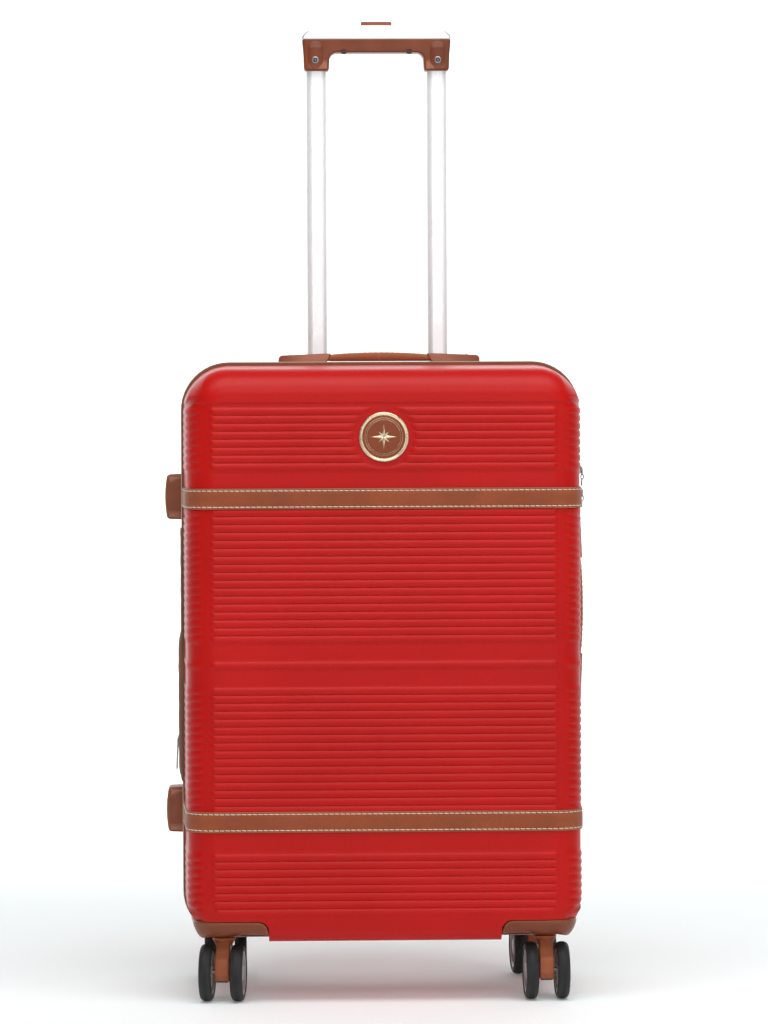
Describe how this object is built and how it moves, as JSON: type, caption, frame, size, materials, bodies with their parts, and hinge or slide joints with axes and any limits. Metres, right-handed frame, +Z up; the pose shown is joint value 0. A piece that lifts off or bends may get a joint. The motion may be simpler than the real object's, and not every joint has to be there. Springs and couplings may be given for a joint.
{
  "type": "hard shell suitcase",
  "caption": "Medium hard shell suitcase with ribbed red shells, tan leather straps, telescopic trolley handle, side lock, expansion zip and twin-wheel swivel casters.",
  "frame": {"origin": "on the floor under the middle of the case, between the four casters", "axes": "+X towards the lock and side handle, -Y towards the front shell, +Z up along the trolley tubes"},
  "size_m": [0.4491, 0.2631, 1.024],
  "materials": {
    "red_shell": "textured",
    "tan_leather": "stitched, low gloss",
    "tan_plastic": "satin",
    "brown_plastic": "satin",
    "zip_fabric": "woven tape",
    "lining_fabric": "woven",
    "webbing": "elastic webbing",
    "silver_tube": "anodised",
    "silver_cover": "satin metallic",
    "steel": "satin",
    "zip_metal": "polished",
    "badge_metal": "pale gold",
    "wheel": "tyre on a grey hub"
  },
  "bodies": {
    "case": {"back_shell": "red_shell", "back_lining": "lining_fabric", "back_strap_upper": "tan_leather", "back_strap_lower": "tan_leather", "back_zip_tape": "zip_fabric", "expansion_gusset": "zip_fabric", "trolley_cup": "brown_plastic", "rails": "silver_tube", "rail_bracket": "brown_plastic", "handle_mounts": "tan_plastic", "side_feet": "tan_plastic", "rear_left_guard": "brown_plastic", "rear_right_guard": "brown_plastic", "rear_swivel_pins": "steel", "lock_case": "steel", "packing_straps": "webbing"},
    "expander": {"expander_band": "zip_fabric"},
    "lid": {"front_shell": "red_shell", "front_lining": "lining_fabric", "front_zip_tape": "zip_fabric", "front_strap_upper": "tan_leather", "front_strap_lower": "tan_leather", "badge_rim": "badge_metal", "badge_face": "tan_leather", "front_left_guard": "brown_plastic", "front_right_guard": "brown_plastic", "front_swivel_pins": "steel", "hinge_tape": "zip_fabric"},
    "trolley": {"left_tube": "silver_tube", "right_tube": "silver_tube", "grip_body": "brown_plastic", "grip_cover": "silver_cover", "grip_screws": "steel"},
    "button": {"grip_button": "silver_cover", "push_rods": "steel"},
    "top_grip": {"top_handle_grip": "tan_plastic"},
    "side_grip": {"side_handle_grip": "tan_plastic"},
    "upper_slider": {"zip_slider_upper": "zip_metal"},
    "lower_slider": {"zip_slider_lower": "zip_metal"},
    "expansion_slider": {"expander_slider": "zip_metal"},
    "dial_1": {"lock_dial_1": "badge_metal"},
    "dial_2": {"lock_dial_2": "badge_metal"},
    "dial_3": {"lock_dial_3": "badge_metal"},
    "lock_release": {"lock_button": "steel"},
    "front_left_caster": {"front_left_fork": "tan_plastic", "front_left_axle": "steel"},
    "front_left_outer_wheel": {"front_left_outer_wheel": "wheel"},
    "front_left_inner_wheel": {"front_left_inner_wheel": "wheel"},
    "front_right_caster": {"front_right_fork": "tan_plastic", "front_right_axle": "steel"},
    "front_right_outer_wheel": {"front_right_outer_wheel": "wheel"},
    "front_right_inner_wheel": {"front_right_inner_wheel": "wheel"},
    "rear_left_caster": {"rear_left_fork": "tan_plastic", "rear_left_axle": "steel"},
    "rear_left_outer_wheel": {"rear_left_outer_wheel": "wheel"},
    "rear_left_inner_wheel": {"rear_left_inner_wheel": "wheel"},
    "rear_right_caster": {"rear_right_fork": "tan_plastic", "rear_right_axle": "steel"},
    "rear_right_outer_wheel": {"rear_right_outer_wheel": "wheel"},
    "rear_right_inner_wheel": {"rear_right_inner_wheel": "wheel"}
  },
  "joints": [
    {"name": "expansion", "type": "slide", "parent": "case", "child": "expander", "axis": [0, -1, 0], "range_m": [0, 0.045], "deforming": ["expansion_gusset"]},
    {"name": "lid_hinge", "type": "hinge", "parent": "expander", "child": "lid", "pos_m": [-0.2195, -0.002, 0.3565], "axis": [0, 0, -1], "range_deg": [0, 180], "deforming": ["hinge_tape"]},
    {"name": "trolley_slide", "type": "slide", "parent": "case", "child": "trolley", "axis": [0, 0, 1], "range_m": [-0.338, 0]},
    {"name": "button_press", "type": "slide", "parent": "trolley", "child": "button", "axis": [0, 0, -1], "range_m": [0, 0.004], "stiffness_N_per_m": 1500, "springref_m": -0.004},
    {"name": "top_handle_lift", "type": "slide", "parent": "case", "child": "top_grip", "axis": [0, 0, 1], "range_m": [0, 0.02], "stiffness_N_per_m": 300, "springref_m": -0.005},
    {"name": "side_handle_lift", "type": "slide", "parent": "case", "child": "side_grip", "axis": [1, 0, 0], "range_m": [0, 0.02], "stiffness_N_per_m": 300, "springref_m": -0.005},
    {"name": "upper_slider_run", "type": "slide", "parent": "expander", "child": "upper_slider", "axis": [0, 0, 1], "range_m": [0, 0.062]},
    {"name": "lower_slider_run", "type": "slide", "parent": "expander", "child": "lower_slider", "axis": [0, 0, 1], "range_m": [-0.4, 0]},
    {"name": "expansion_slider_run", "type": "slide", "parent": "case", "child": "expansion_slider", "axis": [0, 0, 1], "range_m": [-0.12, 0.33]},
    {"name": "lock_release_press", "type": "slide", "parent": "case", "child": "lock_release", "axis": [-1, 0, 0], "range_m": [0, 0.0025], "stiffness_N_per_m": 800, "springref_m": -0.001},
    {"name": "dial_1_turn", "type": "hinge", "parent": "case", "child": "dial_1", "pos_m": [0.2055, 0.033, 0.561], "axis": [0, 0, 1], "continuous": true},
    {"name": "dial_2_turn", "type": "hinge", "parent": "case", "child": "dial_2", "pos_m": [0.2055, 0.033, 0.5685], "axis": [0, 0, 1], "continuous": true},
    {"name": "dial_3_turn", "type": "hinge", "parent": "case", "child": "dial_3", "pos_m": [0.2055, 0.033, 0.576], "axis": [0, 0, 1], "continuous": true},
    {"name": "front_left_swivel", "type": "hinge", "parent": "lid", "child": "front_left_caster", "pos_m": [-0.166, -0.086, 0.062], "axis": [0, 0, 1], "continuous": true},
    {"name": "front_left_outer_spin", "type": "hinge", "parent": "front_left_caster", "child": "front_left_outer_wheel", "pos_m": [-0.16746, -0.09992, 0.0295], "axis": [0.9945, -0.1045, 0], "continuous": true},
    {"name": "front_left_inner_spin", "type": "hinge", "parent": "front_left_caster", "child": "front_left_inner_wheel", "pos_m": [-0.16746, -0.09992, 0.0295], "axis": [0.9945, -0.1045, 0], "continuous": true},
    {"name": "front_right_swivel", "type": "hinge", "parent": "lid", "child": "front_right_caster", "pos_m": [0.166, -0.086, 0.062], "axis": [0, 0, 1], "continuous": true},
    {"name": "front_right_outer_spin", "type": "hinge", "parent": "front_right_caster", "child": "front_right_outer_wheel", "pos_m": [0.16649, -0.09999, 0.0295], "axis": [0.9994, 0.0349, 0], "continuous": true},
    {"name": "front_right_inner_spin", "type": "hinge", "parent": "front_right_caster", "child": "front_right_inner_wheel", "pos_m": [0.16649, -0.09999, 0.0295], "axis": [0.9994, 0.0349, 0], "continuous": true},
    {"name": "rear_left_swivel", "type": "hinge", "parent": "case", "child": "rear_left_caster", "pos_m": [-0.166, 0.086, 0.062], "axis": [0, 0, 1], "continuous": true},
    {"name": "rear_left_outer_spin", "type": "hinge", "parent": "rear_left_caster", "child": "rear_left_outer_wheel", "pos_m": [-0.166, 0.1, 0.0295], "axis": [-1, 0, 0], "continuous": true},
    {"name": "rear_left_inner_spin", "type": "hinge", "parent": "rear_left_caster", "child": "rear_left_inner_wheel", "pos_m": [-0.166, 0.1, 0.0295], "axis": [-1, 0, 0], "continuous": true},
    {"name": "rear_right_swivel", "type": "hinge", "parent": "case", "child": "rear_right_caster", "pos_m": [0.166, 0.086, 0.062], "axis": [0, 0, 1], "continuous": true},
    {"name": "rear_right_outer_spin", "type": "hinge", "parent": "rear_right_caster", "child": "rear_right_outer_wheel", "pos_m": [0.16502, 0.09997, 0.0295], "axis": [-0.9976, -0.0698, 0], "continuous": true},
    {"name": "rear_right_inner_spin", "type": "hinge", "parent": "rear_right_caster", "child": "rear_right_inner_wheel", "pos_m": [0.16502, 0.09997, 0.0295], "axis": [-0.9976, -0.0698, 0], "continuous": true}
  ]
}
